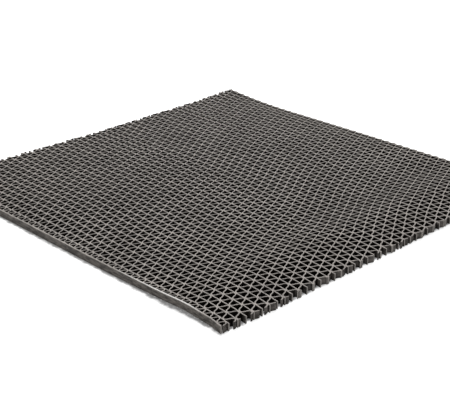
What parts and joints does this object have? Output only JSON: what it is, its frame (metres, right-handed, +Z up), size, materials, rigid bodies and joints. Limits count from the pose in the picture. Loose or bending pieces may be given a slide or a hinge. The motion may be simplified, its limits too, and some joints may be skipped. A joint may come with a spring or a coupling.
{
  "type": "door mat",
  "caption": "Square open-web vinyl door mat: upright ribs and zigzag ribbons bonded into a thin drainage grid, with one solid edge strip.",
  "frame": {"origin": "middle of the underside, on the floor", "axes": "+Z up through the tread, X along the ribs, Y across them; the solid edge strip is on the -Y side and the two cut ends face +X and -X"},
  "size_m": [0.6, 0.6, 0.01],
  "materials": {
    "web_vinyl": "satin",
    "edge_vinyl": "satin"
  },
  "bodies": {
    "root": {"edge_strip": "edge_vinyl", "selvage_row": "web_vinyl", "web_row_01": "web_vinyl", "web_row_02": "web_vinyl", "web_row_03": "web_vinyl", "web_row_04": "web_vinyl", "web_row_05": "web_vinyl", "web_row_06": "web_vinyl", "web_row_07": "web_vinyl", "web_row_08": "web_vinyl", "web_row_09": "web_vinyl", "web_row_10": "web_vinyl", "web_row_11": "web_vinyl", "web_row_12": "web_vinyl", "web_row_13": "web_vinyl", "web_row_14": "web_vinyl", "web_row_15": "web_vinyl", "web_row_16": "web_vinyl", "web_row_17": "web_vinyl", "web_row_18": "web_vinyl", "web_row_19": "web_vinyl", "web_row_20": "web_vinyl", "web_row_21": "web_vinyl", "web_row_22": "web_vinyl", "web_row_23": "web_vinyl", "web_row_24": "web_vinyl", "web_row_25": "web_vinyl", "web_row_26": "web_vinyl", "web_row_27": "web_vinyl", "web_row_28": "web_vinyl", "web_row_29": "web_vinyl", "web_row_30": "web_vinyl", "web_row_31": "web_vinyl", "web_row_32": "web_vinyl", "web_row_33": "web_vinyl", "web_row_34": "web_vinyl", "web_row_35": "web_vinyl", "web_row_36": "web_vinyl", "web_row_37": "web_vinyl", "web_row_38": "web_vinyl", "web_row_39": "web_vinyl", "web_row_40": "web_vinyl", "web_row_41": "web_vinyl", "web_row_42": "web_vinyl", "web_row_43": "web_vinyl", "web_row_44": "web_vinyl", "web_row_45": "web_vinyl", "web_row_46": "web_vinyl", "web_row_47": "web_vinyl"}
  },
  "joints": []
}
